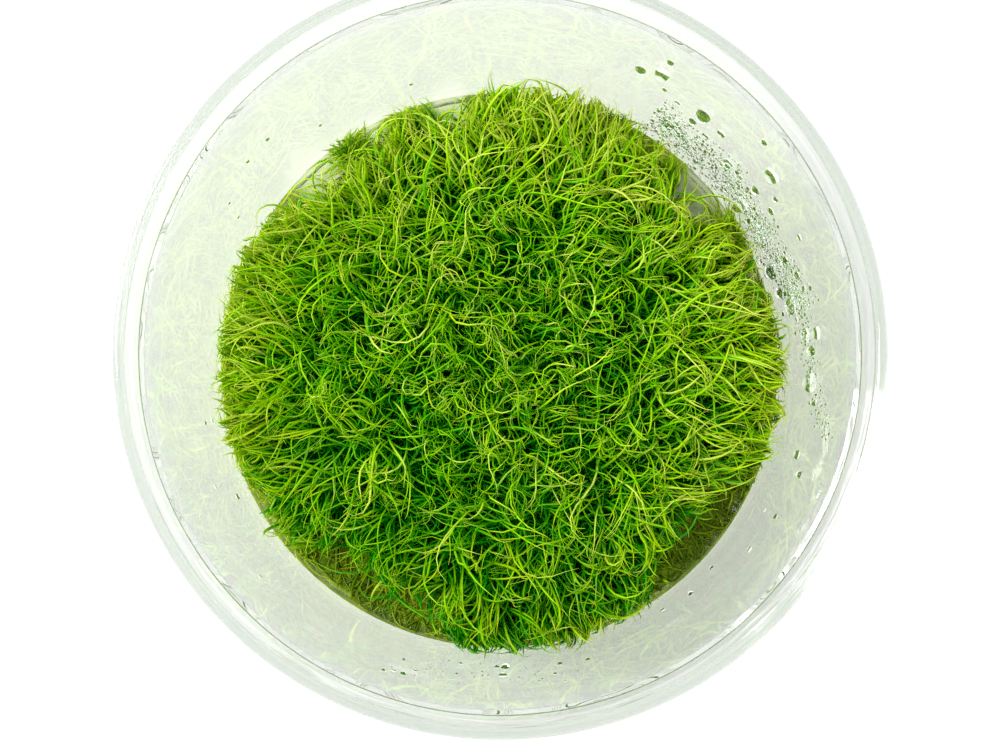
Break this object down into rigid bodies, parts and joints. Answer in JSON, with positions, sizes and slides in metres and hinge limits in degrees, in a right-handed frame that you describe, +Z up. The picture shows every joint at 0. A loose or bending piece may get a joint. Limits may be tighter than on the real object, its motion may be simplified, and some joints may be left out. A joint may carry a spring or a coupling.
{
  "type": "tissue culture bladderwort in a glass bowl",
  "caption": "Dense turf of thin green bladderwort leaves growing on clear culture gel in an open round glass bowl with a flared lip.",
  "frame": {"origin": "middle of the bowl's foot, on the surface that it stands on", "axes": "+Z up, out of the bowl's mouth; +Y is the top of the picture"},
  "size_m": [0.1, 0.1, 0.06],
  "materials": {
    "glass": "clear, slightly green, smooth",
    "gel": "clear set agar, wet",
    "leaf": "thin wet leaves, satin"
  },
  "bodies": {
    "root": {"glass_bowl": "glass", "agar_gel": "gel", "leaf_mat": "leaf"}
  },
  "joints": []
}
